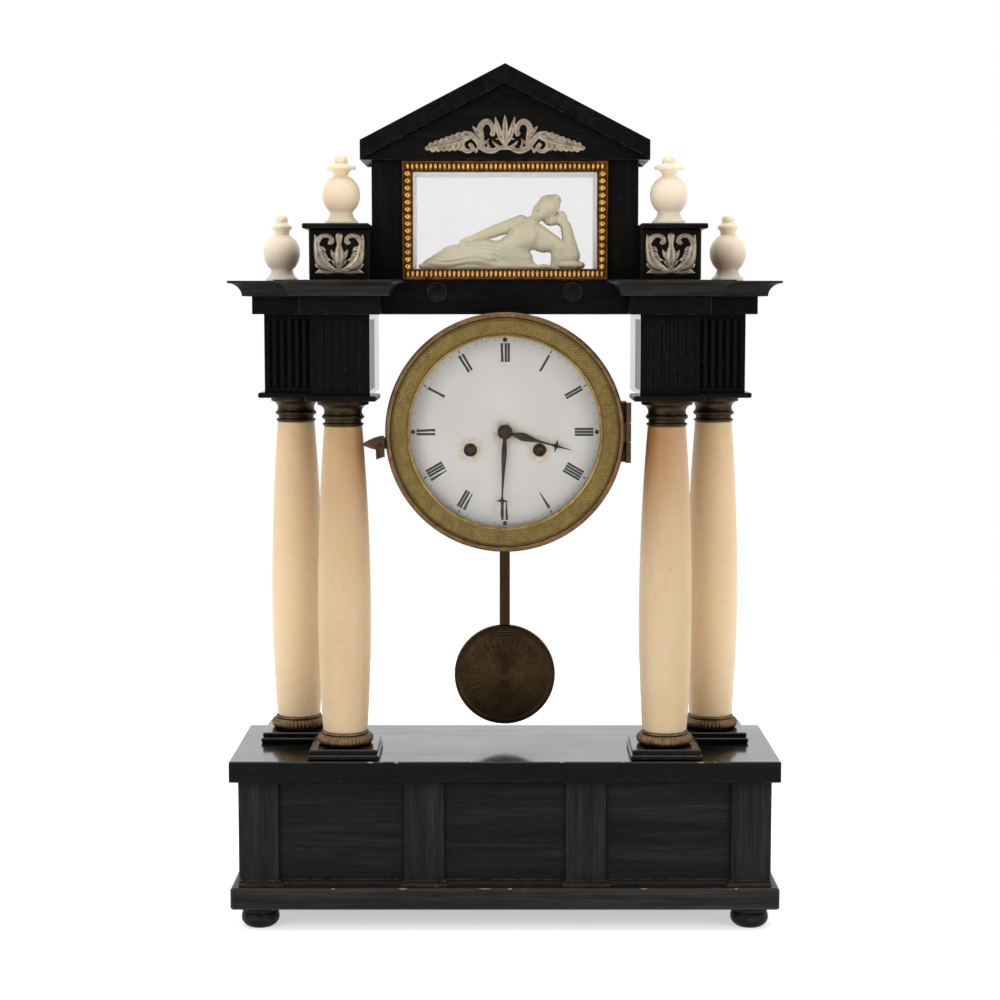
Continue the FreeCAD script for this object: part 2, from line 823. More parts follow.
def make_figure(depth, floor):
    """A calm reclining draped figure leaning on one arm: rounded limbs joined into one carved piece."""
    # joints of the body as shares of the figure's length: across from its middle, up, and thickness
    joint_shares = {
        "toes": (-0.46, 0.045, 0.044),
        "knees": (-0.22, 0.105, 0.062),
        "hips": (-0.01, 0.115, 0.084),
        "waist": (0.12, 0.170, 0.064),
        "chest": (0.24, 0.250, 0.073),
        "throat": (0.27, 0.320, 0.036),
        "head": (0.272, 0.375, 0.068),
        "shoulder": (0.31, 0.255, 0.038),
        "elbow": (0.43, 0.170, 0.033),
        "hand": (0.335, 0.345, 0.026),
        "wrist": (0.02, 0.215, 0.025),
    }
    limbs = (
        ("toes", "knees"), ("knees", "hips"), ("hips", "waist"), ("waist", "chest"), ("chest", "throat"),
        ("throat", "head"), ("chest", "shoulder"), ("shoulder", "elbow"), ("elbow", "hand"), ("chest", "wrist"),
    )
    ball_share = 1.04
    pieces = []
    for name, (across, up, thick) in joint_shares.items():
        ball = doc.addObject("Part::Sphere", f"figure_{name}")
        bind(ball, "Radius", figure_length * thick * ball_share)
        place(ball, figure_length * across, depth, floor + figure_length * up)
        pieces.append(ball)
    for first, second in limbs:
        start, stop = joint_shares[first], joint_shares[second]
        run, rise = stop[0] - start[0], stop[1] - start[1]
        limb = doc.addObject("Part::Cone", f"figure_{first}_to_{second}")
        bind(limb, "Radius1", figure_length * start[2])
        bind(limb, "Radius2", figure_length * stop[2])
        bind(limb, "Height", figure_length * math.hypot(run, rise))
        heading = math.degrees(math.atan2(run, rise))
        limb.Placement.Rotation = FreeCAD.Rotation(FreeCAD.Vector(0, 1, 0), heading)
        place(limb, figure_length * start[0], depth, floor + figure_length * start[1])
        pieces.append(limb)
    half = figure_length / 2
    ledge = (depth - figure_depth / 2, depth + figure_depth / 2)
    base_share, cushion_share, cushion_width_share = 0.03, 0.15, 0.22
    base_top = floor + figure_length * base_share
    pieces.append(box("figure_plinth", (-half, half), ledge, (floor, base_top)))
    cushion_top = floor + figure_length * cushion_share
    pieces.append(box("figure_cushion", (half - figure_length * cushion_width_share, half), ledge,
                      (floor, cushion_top)))
    whole = join("figure_whole", pieces)
    under = box(
        "figure_under", (-figure_length, figure_length), (depth - figure_length, depth + figure_length),
        (floor - figure_length, floor),
    )
    keep(cut("figure_cut", whole, [under]), "reclining_figure")


# Gable: two sloping roof boards, the recessed tympanum and its mount
def make_gable():
    half = eave_half_width
    front = behind(beam_setback) - gable_reach
    deep = attic_depth + gable_reach
    roof_outline = [
        (zero, apex - eave_thickness),
        (half, attic_top),
        (half, attic_top + eave_thickness),
        (zero, apex),
    ]
    roof = padded("roof_board", roof_outline, deep, facing="front")
    bind(roof, "Placement.Base.y", front)
    group("roof_boards", [roof, mirror_of("roof_board_left", roof)])
    tympanum_front = front + tympanum_recess
    outline = [(-half, attic_top), (half, attic_top), (zero, apex - eave_thickness)]
    filling = padded("tympanum_board", outline, tympanum_thickness, facing="front")
    bind(filling, "Placement.Base.y", tympanum_front)
    closing = padded("gable_back_board", outline, tympanum_thickness, facing="front")
    bind(closing, "Placement.Base.y", front + deep - tympanum_thickness)
    group("tympanum", [filling, closing])

    # leaf outline from the middle outwards, as shares of the mount's half width and height
    leaf_shares = (
        (1.00, 0.00), (1.00, 0.10), (0.80, 0.16), (0.86, 0.30), (0.66, 0.34), (0.60, 0.48), (0.42, 0.46),
        (0.36, 0.66), (0.20, 0.62), (0.14, 0.88),
    )
    mount_half = mount_width / 2
    mount_floor = attic_top + mount_lift
    right = [(mount_half * across, mount_floor + mount_height * up) for across, up in leaf_shares]
    left = [(-mount_half * across, mount_floor + mount_height * up) for across, up in reversed(leaf_shares)]
    top = (zero, mount_floor + mount_height)
    mount = padded("mount_leaves", right + [top] + left, mount_thickness, facing="front")
    bind(mount, "Placement.Base.y", tympanum_front - mount_thickness)
    keep(mount, "gable_mount")


# Dado blocks beside the attic, with caps, square mounts and urn finials
def make_dados():
    front = behind(dado_setback)
    left_edge = attic_half_width
    right_edge = left_edge + dado_width
    cap_floor = cornice_top + dado_height
    blocks, caps, mounts = [], [], []
    centre = left_edge + dado_width / 2
    for side, name in ((-1, "left"), (1, "right")):
        near, far = (left_edge, right_edge) if side > 0 else (-right_edge, -left_edge)
        blocks.append(board(f"dado_{name}", (near, far), (front, front + dado_depth), (cornice_top, cap_floor)))
        reach = dado_cap_reach
        span = (near, far + reach) if side > 0 else (near - reach, far)
        depth = (front - reach, front + dado_depth + reach)
        caps.append(board(f"dado_cap_{name}", span, depth, (cap_floor, cap_floor + dado_cap_thickness)))
        middle = cornice_top + dado_height / 2
        outline = rectangle(
            centre * side - rosette_width / 2,
            centre * side + rosette_width / 2,
            middle - rosette_height / 2,
            middle + rosette_height / 2,
        )
        plate = padded(f"rosette_{name}", outline, mount_thickness, facing="front", eased=edge_break * 2)
        bind(plate, "Placement.Base.y", front - mount_thickness)
        mounts.append(plate)
    group("dado_blocks", blocks)
    group("dado_caps", caps)
    group("dado_mounts", mounts)
    make_finials(centre, front + dado_depth / 2, cap_floor + dado_cap_thickness)


def make_finials(inner_x, inner_depth, inner_floor):
    # radii as shares of the largest radius
    foot_share, waist_share, neck_share, lid_share, knob_share = 0.88, 0.6, 0.34, 0.78, 0.32
    # levels as shares of the height
    foot_top_share, waist_up_share, widest_share, neck_up_share = 0.05, 0.18, 0.43, 0.7
    lid_floor_share, lid_top_share, knob_floor_share, knob_top_share = 0.8, 0.84, 0.88, 0.95
    radius, height = finial_radius, finial_height
    foot, waist, neck = radius * foot_share, radius * waist_share, radius * neck_share
    lid, knob = radius * lid_share, radius * knob_share
    foot_top, waist_up = height * foot_top_share, height * waist_up_share
    widest, neck_up = height * widest_share, height * neck_up_share
    lid_floor, knob_top = height * lid_floor_share, height * knob_top_share

    def sweep(spread, rise):
        """Radius of an arc that starts upright and spreads that far over that rise."""
        return (rise * rise + spread * spread) / (spread * 2)

    profile = [
        (zero, zero),
        (foot, zero),
        (foot, foot_top),
        (waist, waist_up, sweep(foot - waist, waist_up - foot_top), -1),
        (radius, widest, sweep(radius - waist, widest - waist_up), 1),
        (neck, neck_up, sweep(radius - neck, neck_up - widest), 1),
        (lid, lid_floor, sweep(lid - neck, lid_floor - neck_up), -1),
        (lid, height * lid_top_share),
        (knob, height * knob_floor_share),
        (knob, knob_top),
        (zero, height, sweep(height - knob_top, knob), 1),
    ]
    spots = (
        ("inner", inner_x, inner_depth, inner_floor),
        ("outer", outer_finial_x, behind(rear_column_setback), cornice_top),
    )
    urns = []
    for name, across, depth, floor in spots:
        urn = turned(f"urn_{name}", profile)
        place(urn, across, depth, floor)
        urns += [urn, mirror_of(f"urn_{name}_left", urn)]
    group("finials", urns)


# Drum, dial, hinged bezel with its glass, hinge and catch
def make_drum():
    tube = turned(
        "drum_tube",
        [
            (drum_radius - drum_wall, zero),
            (drum_radius, zero),
            (drum_radius, drum_depth),
            (drum_radius - drum_wall, drum_depth),
        ],
        axis="back",
    )
    place(tube, zero, behind(drum_setback), dial_height)
    pivot_x, pivot_z, front, rear = catch_limits()
    bracket_start = rear + part_gap
    bracket = box(
        "catch_bracket",
        (pivot_x - catch_nose, -drum_radius + drum_wall),
        (bracket_start, bracket_start + catch_rise),
        (pivot_z - catch_nose * 2, pivot_z + catch_nose * 2),
    )
    stud = rod("catch_stud", pivot_radius, bracket_start - front + overrun, (pivot_x, front, pivot_z))
    core = rod("catch_drum_core", drum_radius - drum_wall / 2, slab_depth, (zero, front, dial_height))
    bracket_cut = cut("bracket_cut", join("bracket_joined", [bracket, stud]), [core])
    keep(join("drum_joined", [tube, bracket_cut]), "drum_shell")

    dial = doc.addObject("PartDesign::Body", "dial_disc")
    sketch = new_sketch(dial, "XZ_Plane", "dial_outline")
    draw_hole(sketch, zero, zero, dial_radius)
    draw_hole(sketch, zero, zero, dial_hole_radius)
    draw_hole(sketch, -winding_x, -winding_drop, winding_hole_radius)
    draw_hole(sketch, winding_x, -winding_drop, winding_hole_radius)
    pad = dial.newObject("PartDesign::Pad", "dial_pad")
    pad.Profile = sketch
    bind(pad, "Length", dial_thickness)
    pad.Reversed = True
    place(dial, zero, behind(dial_setback), dial_height)
    keep(dial, "dial")


def bezel_front():
    return behind(drum_setback) - part_gap - bezel_depth


def hinge_axis():
    return bezel_radius + hinge_radius + part_gap, bezel_front() + hinge_radius / 2


def make_bezel():
    ring_start = bezel_front()
    band = bezel_radius - bezel_edge_width
    bead = bezel_opening + bezel_bead_width
    seat = bezel_opening + bezel_rebate
    glass_edge = bezel_depth - glass_thickness - part_gap
    profile = [
        (bezel_opening, bezel_bead_width),
        (bezel_opening + bezel_bead_width / 2, bezel_bead_width / 2, bezel_bead_width / 2, 1),
        (bead, bezel_bead_width, bezel_bead_width / 2, 1),
        (band, bezel_depth / 4),
        (band, zero),
        (bezel_radius - edge_break, zero),
        (bezel_radius, edge_break),
        (bezel_radius, bezel_depth),
        (seat, bezel_depth),
        (seat, glass_edge),
        (bezel_opening, glass_edge),
    ]
    ring = turned("bezel_turned", profile, axis="back")
    place(ring, zero, ring_start, dial_height)
    axis_x, axis_y = hinge_axis()
    knuckle_height = hinge_height / 3 - part_gap * 2
    knuckle = rod(
        "bezel_knuckle", hinge_radius, knuckle_height, (axis_x, axis_y, dial_height - knuckle_height / 2), up_turn
    )
    tongue = box(
        "bezel_tongue",
        (bezel_radius - bezel_edge_width / 2, axis_x),
        (axis_y, axis_y + hinge_radius / 2),
        (dial_height - knuckle_height / 2, dial_height + knuckle_height / 2),
    )
    pin_bore = rod(
        "bezel_pin_bore",
        hinge_pin_radius + running_gap,
        hinge_height + overrun * 2,
        (axis_x, axis_y, dial_height - hinge_height / 2 - overrun),
        up_turn,
    )
    keep(cut("bezel_cut", join("bezel_joined", [ring, knuckle, tongue]), [pin_bore]), "bezel_ring")

    edge = seat - part_gap / 4
    curve = (edge * edge + glass_rise * glass_rise) / (glass_rise * 2)
    inside_curve = curve - glass_thickness
    glass = turned(
        "glass_dome",
        [
            (zero, glass_edge - glass_rise),
            (edge - glass_thickness, glass_edge, curve, 1),
            (edge, glass_edge),
            (edge, glass_edge + glass_thickness),
            (edge - glass_thickness, glass_edge + glass_thickness),
            (zero, glass_edge - glass_rise + glass_thickness, inside_curve, -1),
        ],
        axis="back",
    )
    place(glass, zero, ring_start, dial_height)
    keep(glass, "bezel_glass")

    leaf_inner = bezel_radius + part_gap
    leaf_outer = leaf_inner + hinge_leaf_thickness
    low = dial_height - hinge_height / 2
    third = hinge_height / 3
    leaf_front = behind(drum_setback) + part_gap
    leaf = box("hinge_leaf", (drum_radius - drum_wall, leaf_outer), (leaf_front, leaf_front + hinge_leaf_depth),
               (low, low + hinge_height))
    pieces = [leaf]
    for name, floor in (("low", low), ("high", low + third * 2)):
        pieces.append(rod(f"hinge_knuckle_{name}", hinge_radius, third, (axis_x, axis_y, floor), up_turn))
        pieces.append(box(f"hinge_arm_{name}", (leaf_inner, leaf_outer), (axis_y, leaf_front + hinge_radius),
                          (floor, floor + third)))
    pieces.append(rod("hinge_pin", hinge_pin_radius, hinge_height, (axis_x, axis_y, low), up_turn))
    drum_core = rod("hinge_drum_core", drum_radius, hinge_leaf_depth * 2, (zero, leaf_front - overrun, dial_height))
    keep(cut("hinge_cut", join("hinge_joined", pieces), [drum_core]), "bezel_hinge")


def catch_limits():
    pivot_x = -(bezel_radius + catch_nose * 2)
    pivot_z = dial_height - catch_drop
    front = bezel_front() - part_gap - catch_thickness
    rear = behind(drum_setback) + part_gap + catch_thickness
    return pivot_x, pivot_z, front, rear


def make_catch():
    """A small turning lever on the left of the drum. Turned inwards it stands in front of the bezel's rim."""
    pivot_x, pivot_z, front, rear = catch_limits()
    hub = rod("catch_hub", catch_nose, rear - front, (pivot_x, front, pivot_z))
    lever = box(
        "catch_lever",
        (pivot_x - catch_nose, pivot_x + catch_nose / 2),
        (front, front + catch_thickness),
        (pivot_z, pivot_z + catch_rise),
    )
    tip = [
        (pivot_x, pivot_z + catch_nose),
        (pivot_x - catch_reach, pivot_z + catch_nose / 2),
        (pivot_x - catch_nose, pivot_z - catch_nose),
        (pivot_x - catch_nose / 2, pivot_z - catch_tail),
        (pivot_x + catch_nose, pivot_z - catch_tail),
        (pivot_x + catch_nose, pivot_z),
    ]
    tab = padded("catch_tab", tip, catch_thickness, facing="front")
    bind(tab, "Placement.Base.y", front)
    bore = rod("catch_bore", pivot_radius + running_gap, slab_depth, (pivot_x, front - overrun, pivot_z))
    keep(cut("catch_cut", join("catch_joined", [hub, lever, tab]), [bore]), "bezel_catch")


# Hands
def make_hands():
    # distance from the boss and half width of each blade, as shares of the hand's length
    hour_shares = (
        (0.09, 0.020), (0.16, 0.034), (0.25, 0.058), (0.33, 0.051), (0.45, 0.026), (0.57, 0.015), (0.70, 0.011),
        (0.735, 0.020), (0.755, 0.104), (0.775, 0.020), (0.81, 0.011), (0.92, 0.007),
    )
    minute_shares = (
        (0.07, 0.018), (0.15, 0.027), (0.23, 0.032), (0.34, 0.026), (0.54, 0.016), (0.73, 0.009), (0.775, 0.014),
        (0.79, 0.072), (0.805, 0.014), (0.85, 0.011), (0.93, 0.012),
    )
    hands = (
        ("hour_hand", hour_hand_length, hour_hand_setback, hour_angle, hour_pipe_radius, hour_shares),
        ("minute_hand", minute_hand_length, minute_hand_setback, minute_angle, cannon_radius, minute_shares),
    )
    for label, length, setback, angle, bore, blade_shares in hands:
        right = [(length * half, length * along) for along, half in blade_shares]
        left = [(-length * half, length * along) for along, half in reversed(blade_shares)]
        blade = padded(label + "_blade", right + [(zero, length)] + left, hand_thickness, facing="front")
        boss = rod(label + "_boss", hand_boss_radius, hand_thickness, (zero, zero, zero))
        eye = rod(label + "_eye", bore, hand_thickness + overrun * 2, (zero, -overrun, zero))
        hand = cut(label + "_cut", join(label + "_joined", [blade, boss]), [eye])
        hand.Placement.Rotation = FreeCAD.Rotation(FreeCAD.Vector(0, 1, 0), angle.value)
        bind(hand, "Placement.Rotation.Angle", angle)
        place(hand, zero, behind(setback), dial_height)
        keep(hand, label)


# Movement: two trains between round plates, with the motion work under the dial
def tooth_points(teeth, radius, module, phase, addendum=0.8, dedendum=1.1):
    """Straight-sided clock teeth with generous play; phase is the angle of the first tooth."""
    tip_share, root_share = 0.07, 0.22
    pitch = 360 / teeth
    points = []
    for index in range(teeth):
        middle = phase + pitch * index
        for share, reach in ((-root_share, -dedendum), (-tip_share, addendum), (tip_share, addendum),
                             (root_share, -dedendum)):
            angle = math.radians(middle + pitch * share)
            distance = radius + module * reach
            points.append((distance * math.cos(angle), distance * math.sin(angle)))
    return points


def slice_of(points, across, up, start, thickness):
    loop = [FreeCAD.Vector(across + x, start, up + z) for x, z in points]
    face = Part.Face(Part.makePolygon(loop + loop[:1]))
    return face.extrude(FreeCAD.Vector(0, thickness, 0))


def bar(radius, across, up, start, stop):
    return Part.makeCylinder(radius, stop - start, FreeCAD.Vector(across, start, up), FreeCAD.Vector(0, 1, 0))


def solid_node(label, pieces, holes=()):
    """One piece cut from the solid: wheel, pinion and arbor in one."""
    shape = pieces[0].multiFuse(pieces[1:]) if len(pieces) > 1 else pieces[0]
    for hole in holes:
        shape = shape.cut(hole)
    feature = doc.addObject("Part::Feature", label + "_shape")
    feature.Shape = shape.removeSplitter()
    return keep(feature, label)


def make_movement():
    centre_up = dial_height.value
    left_x, right_x = -winding_x.value, winding_x.value
    barrel_up = centre_up - winding_drop.value
    inside_front = behind(front_plate_setback + plate_thickness).value
    inside_back = inside_front + plate_spacing.value
    plate_front = behind(front_plate_setback).value
    plate_back = inside_back + plate_thickness.value
    end_play = part_gap.value
    thick = wheel_thickness.value
    leaf = pinion_length.value
    lean = (leaf - thick) / 2
    arbor = arbor_radius.value
    pivot = pivot_radius.value
    run = running_gap.value

    # tooth counts of the going train, the strike train and the motion work
    great_teeth, centre_leaves = 56, 8
    centre_teeth, third_leaves = 60, 6
    third_teeth, escape_leaves = 54, 6
    escape_teeth = 44
    pin_teeth, fly_leaves = 48, 6
    cannon_leaves, minute_teeth = 12, 36
    minute_leaves, hour_teeth = 10, 40
    leaf_tip_share = 0.6

    def pitch(radius, teeth):
        return 2 * radius / teeth

    # positions of the arbors
    great_distance = math.hypot(winding_x.value, winding_drop.value)
    great_module = 2 * great_distance / (great_teeth + centre_leaves)
    great_radius = great_module * great_teeth / 2
    centre_module = pitch(centre_wheel_radius.value, centre_teeth)
    third_distance = centre_module * (centre_teeth + third_leaves) / 2
    third_heading = third_angle.value
    third_x = third_distance * math.cos(math.radians(third_heading))
    third_up = centre_up + third_distance * math.sin(math.radians(third_heading))
    third_module = pitch(third_wheel_radius.value, third_teeth)
    escape_distance = third_module * (third_teeth + escape_leaves) / 2
    escape_up = third_up + math.sqrt(escape_distance**2 - third_x**2)
    escape_heading = math.degrees(math.atan2(escape_up - third_up, -third_x))
    pin_heading = pin_angle.value
    pin_x = left_x + great_distance * math.cos(math.radians(pin_heading))
    pin_up = barrel_up + great_distance * math.sin(math.radians(pin_heading))
    pin_module = pitch(pin_wheel_radius.value, pin_teeth)
    fly_distance = pin_module * (pin_teeth + fly_leaves) / 2
    fly_heading = fly_angle.value
    fly_x = pin_x + fly_distance * math.cos(math.radians(fly_heading))
    fly_up = pin_up + fly_distance * math.sin(math.radians(fly_heading))
    pallet_up = centre_up + pallet_rise.value
    hammer_up = centre_up - hammer_drop.value
    hammer_side = -hammer_x.value

    # layers between the plates, from front to back
    going_layer = inside_front + end_play
    strike_layer = going_layer + barrel_depth.value
    centre_layer = strike_layer + thick + leaf
    rear_layer = centre_layer + thick + leaf
    escape_layer = inside_front + barrel_depth.value

    def pivoted(across, up):
        """An arbor with a thinner pivot in each plate."""
        return [
            bar(arbor, across, up, inside_front + end_play, inside_back - end_play),
            bar(pivot, across, up, plate_front, plate_back),
        ]

    def wheel(teeth, radius, module, phase, across, up, start):
        return slice_of(tooth_points(teeth, radius, module, phase), across, up, start, thick)

    def pinion(leaves, module, phase, across, up, start):
        points = tooth_points(leaves, module * leaves / 2, module, phase, addendum=leaf_tip_share)
        return slice_of(points, across, up, start - lean, leaf)

    def gap_facing(heading, leaves):
        return heading + 180 + 180 / leaves

    # going side
    going_heading = math.degrees(math.atan2(winding_drop.value, -right_x))
    barrel_bore = winding_arbor_radius.value + run
    drum_start = going_layer + thick
    barrel_end = drum_start + barrel_depth.value - thick
    solid_node(
        "going_barrel",
        [
            wheel(great_teeth, great_radius, great_module, going_heading, right_x, barrel_up, going_layer),
            bar(barrel_radius.value, right_x, barrel_up, drum_start, barrel_end),
        ],
        [bar(barrel_bore, right_x, barrel_up, plate_front, plate_back)],
    )
    cannon_layer = plate_front - end_play - leaf
    motion_layer = cannon_layer + lean
    cannon_module = 2 * motion_distance.value / (cannon_leaves + minute_teeth)
    hour_module = 2 * motion_distance.value / (minute_leaves + hour_teeth)
    hour_layer = cannon_layer - end_play - leaf + lean
    minute_front = behind(minute_hand_setback).value
    motion_heading = -90
    solid_node(
        "centre_wheel",
        [
            *pivoted(0, centre_up),
            pinion(centre_leaves, great_module, gap_facing(going_heading, centre_leaves), 0, centre_up, going_layer),
            wheel(centre_teeth, centre_wheel_radius.value, centre_module, third_heading, 0, centre_up, centre_layer),
            bar(cannon_radius.value, 0, centre_up, minute_front - hand_thickness.value, plate_front - end_play),
            slice_of(
                tooth_points(cannon_leaves, cannon_module * cannon_leaves / 2, cannon_module, motion_heading, leaf_tip_share),
                0, centre_up, cannon_layer, leaf,
            ),
        ],
    )
    solid_node(
        "third_wheel",
        [
            *pivoted(third_x, third_up),
            pinion(third_leaves, centre_module, gap_facing(third_heading, third_leaves), third_x, third_up,
                   centre_layer),
            wheel(third_teeth, third_wheel_radius.value, third_module, escape_heading, third_x, third_up, rear_layer),
        ],
    )
    escape_outline = []
    root_share = 0.7
    for index in range(escape_teeth):
        tooth = math.radians(360 * index / escape_teeth)
        root = math.radians(360 * (index + root_share) / escape_teeth)
        tip_radius = escape_radius.value
        root_radius = tip_radius - centre_module * 2
        escape_outline.append((tip_radius * math.cos(tooth), tip_radius * math.sin(tooth)))
        escape_outline.append((root_radius * math.cos(root), root_radius * math.sin(root)))
    solid_node(
        "escape_wheel",
        [
            *pivoted(0, escape_up),
            pinion(escape_leaves, third_module, gap_facing(escape_heading, escape_leaves), 0, escape_up, rear_layer),
            slice_of(escape_outline, 0, escape_up, escape_layer, thick),
        ],
    )

    # motion work in front of the plate
    stud_up = centre_up - motion_distance.value
    solid_node(
        "minute_wheel",
        [
            wheel(minute_teeth, cannon_module * minute_teeth / 2, cannon_module,
                  gap_facing(motion_heading, minute_teeth), 0, stud_up, motion_layer),
            slice_of(
                tooth_points(minute_leaves, hour_module * minute_leaves / 2, hour_module, -motion_heading, leaf_tip_share),
                0, stud_up, hour_layer - lean, leaf + end_play + lean,
            ),
        ],
        [bar(pivot + run, 0, stud_up, plate_front - dial_setback.value, plate_back)],
    )
    hour_front = behind(hour_hand_setback).value
    solid_node(
        "hour_wheel",
        [
            wheel(hour_teeth, hour_module * hour_teeth / 2, hour_module, gap_facing(90, hour_teeth), 0, centre_up,
                  hour_layer),
            bar(hour_pipe_radius.value, 0, centre_up, hour_front, hour_layer + thick),
        ],
        [bar(cannon_radius.value + run, 0, centre_up, minute_front, plate_back)],
    )

    # strike side
    solid_node(
        "strike_barrel",
        [
            wheel(great_teeth, great_radius, great_module, pin_heading, left_x, barrel_up, strike_layer),
            bar(barrel_radius.value, left_x, barrel_up, going_layer, strike_layer),
        ],
        [bar(barrel_bore, left_x, barrel_up, plate_front, plate_back)],
    )
    pin_ring_share, pin_count = 0.72, 8
    pin_ring = pin_wheel_radius.value * pin_ring_share
    lifting_pins = []
    for index in range(pin_count):
        angle = math.radians(360 * index / pin_count)
        lifting_pins.append(
            bar(pivot, pin_x + pin_ring * math.cos(angle), pin_up + pin_ring * math.sin(angle), rear_layer,
                rear_layer + thick + lean + end_play)
        )
    solid_node(
        "pin_wheel",
        [
            *pivoted(pin_x, pin_up),
            pinion(centre_leaves, great_module, gap_facing(pin_heading, centre_leaves), pin_x, pin_up, strike_layer),
            wheel(pin_teeth, pin_wheel_radius.value, pin_module, fly_heading, pin_x, pin_up, rear_layer),
            *lifting_pins,
        ],
    )
    vane = fly_radius.value
    vane_start = inside_front + leaf
    vane_block = Part.makeBox(vane * 2, fly_length.value, pivot, FreeCAD.Vector(fly_x - vane, vane_start, fly_up))
    solid_node(
        "fly",
        [
            *pivoted(fly_x, fly_up),
            pinion(fly_leaves, pin_module, gap_facing(fly_heading, fly_leaves), fly_x, fly_up, rear_layer),
            vane_block,
        ],
    )

    # winding arbors with their squares
    square = winding_square_side.value
    square_front = behind(winding_square_setback).value
    for label, across in (("going_arbor", right_x), ("strike_arbor", left_x)):
        corner = FreeCAD.Vector(across - square / 2, square_front, barrel_up - square / 2)
        key_square = Part.makeBox(square, plate_front - square_front, square, corner)
        solid_node(label, [bar(winding_arbor_radius.value, across, barrel_up, plate_front, plate_back), key_square])

    # hammer and its arbor
    bell_up = centre_up + bell_rise.value
    head_x = -(bell_radius.value + hammer_gap.value)
    head_start = behind(bell_setback).value
    arm = hammer_arm_width.value
    hammer_end = head_start + arm * 2
    arm_block = Part.makeBox(arm, arm, bell_up - hammer_up,
                             FreeCAD.Vector(hammer_side - arm / 2, head_start, hammer_up))
    head_length = head_x - hammer_side + arm * 2
    head_corner = FreeCAD.Vector(head_x, head_start + arm, bell_up)
    head = Part.makeCylinder(hammer_head_radius.value, head_length, head_corner, FreeCAD.Vector(-1, 0, 0))
    tail_start = rear_layer + thick + pivot
    tail_corner = FreeCAD.Vector(hammer_side - arm / 2, tail_start, hammer_up)
    tail = Part.makeBox(arm, thick, pin_up - hammer_up, tail_corner)
    foot_end = pin_x - pin_ring - pivot - hammer_tail_gap.value
    foot_corner = FreeCAD.Vector(hammer_side - arm / 2, tail_start, pin_up - arm)
    lifting_foot = Part.makeBox(foot_end - hammer_side + arm / 2, thick, arm, foot_corner)
    solid_node(
        "hammer",
        [
            bar(arbor, hammer_side, hammer_up, inside_front + end_play, inside_back - end_play),
            bar(pivot, hammer_side, hammer_up, plate_front, plate_back),
            bar(pivot, hammer_side, hammer_up, plate_back, hammer_end),
            bar(arbor, hammer_side, hammer_up, plate_back + end_play, hammer_end),
            arm_block,
            head,
            tail,
            lifting_foot,
        ],
    )

    # pallets with the crutch behind the back plate
    reach = escape_radius.value + pallet_gap.value
    span = pallet_half_span.value
    drop_x = reach * math.sin(math.radians(span))
    drop_up = escape_up + reach * math.cos(math.radians(span))
    pallet_arm = pallet_thickness.value
    anchor_points = [
        (-drop_x - pallet_arm, drop_up), (-drop_x, drop_up), (-drop_x + pallet_arm / 2, pallet_up - pallet_arm * 2),
        (drop_x - pallet_arm / 2, pallet_up - pallet_arm * 2), (drop_x, drop_up), (drop_x + pallet_arm, drop_up),
        (drop_x, pallet_up + pallet_arm / 2), (0, pallet_up + pallet_arm), (-drop_x, pallet_up + pallet_arm / 2),
    ]
    crutch_start = plate_back + end_play
    crutch_half = crutch_width.value / 2
    crutch_low = pallet_up - crutch_length.value
    fork_half = rod_width.value / 2 + end_play
    rod_back = behind(rod_setback + rod_thickness).value
    fork = Part.makeBox((fork_half + crutch_half) * 2, thick, crutch_half * 2,
                        FreeCAD.Vector(-fork_half - crutch_half, crutch_start, crutch_low))
    prongs = [
        Part.makeBox(crutch_half, rod_back - crutch_start, crutch_half * 2,
                     FreeCAD.Vector(side, crutch_start, crutch_low))
        for side in (-fork_half - crutch_half, fork_half)
    ]
    solid_node(
        "pallets",
        [
            bar(arbor, 0, pallet_up, inside_front + end_play, inside_back - end_play),
            bar(pivot, 0, pallet_up, plate_front, crutch_start + thick),
            bar(arbor, 0, pallet_up, crutch_start, crutch_start + thick),
            slice_of(anchor_points, 0, 0, escape_layer, thick),
            Part.makeBox(crutch_half * 2, thick, crutch_length.value,
                         FreeCAD.Vector(-crutch_half, crutch_start, crutch_low)),
            fork,
            *prongs,
        ],
    )

    # plates drilled for every arbor
    big = winding_arbor_radius.value + run
    small = pivot + run
    drilled = [(big, left_x, barrel_up), (big, right_x, barrel_up)]
    for across, up in ((0, centre_up), (third_x, third_up), (0, escape_up), (pin_x, pin_up), (fly_x, fly_up),
                       (hammer_side, hammer_up), (0, pallet_up)):
        drilled.append((small, across, up))
    front_holes = [bar(radius, across, up, plate_front - overrun.value, inside_front + overrun.value)
                   for radius, across, up in drilled]
    back_holes = [bar(radius, across, up, inside_back - overrun.value, plate_back + overrun.value)
                  for radius, across, up in drilled]
    pillar_spots = []
    lean_angle = pillar_angle.value
    for angle in (lean_angle, 180 - lean_angle, 180 + lean_angle, 360 - lean_angle):
        turn = math.radians(angle)
        ring = pillar_ring_radius.value
        pillar_spots.append((ring * math.cos(turn), centre_up + ring * math.sin(turn)))
    pin = pillar_radius.value / 2
    back_holes += [bar(pin, across, up, inside_back - overrun.value, plate_back + overrun.value)
                   for across, up in pillar_spots]
    stud_start = hour_layer - lean
    solid_node(
        "front_plate",
        [
            bar((drum_radius - drum_wall).value, 0, centre_up, plate_front, inside_front),
            bar(pivot, 0, stud_up, stud_start, plate_front),
        ],
        front_holes,
    )
    solid_node("back_plate", [bar(back_plate_radius.value, 0, centre_up, inside_back, plate_back)], back_holes)
    pillars = []
    for across, up in pillar_spots:
        pillars.append(
            bar(pillar_radius.value, across, up, inside_front, inside_back).fuse(
                bar(pin, across, up, inside_back, plate_back + pillar_pin_length.value)
            )
        )
    feature = doc.addObject("Part::Feature", "pillar_shapes")
    feature.Shape = Part.makeCompound(pillars)
    keep(feature, "movement_pillars")


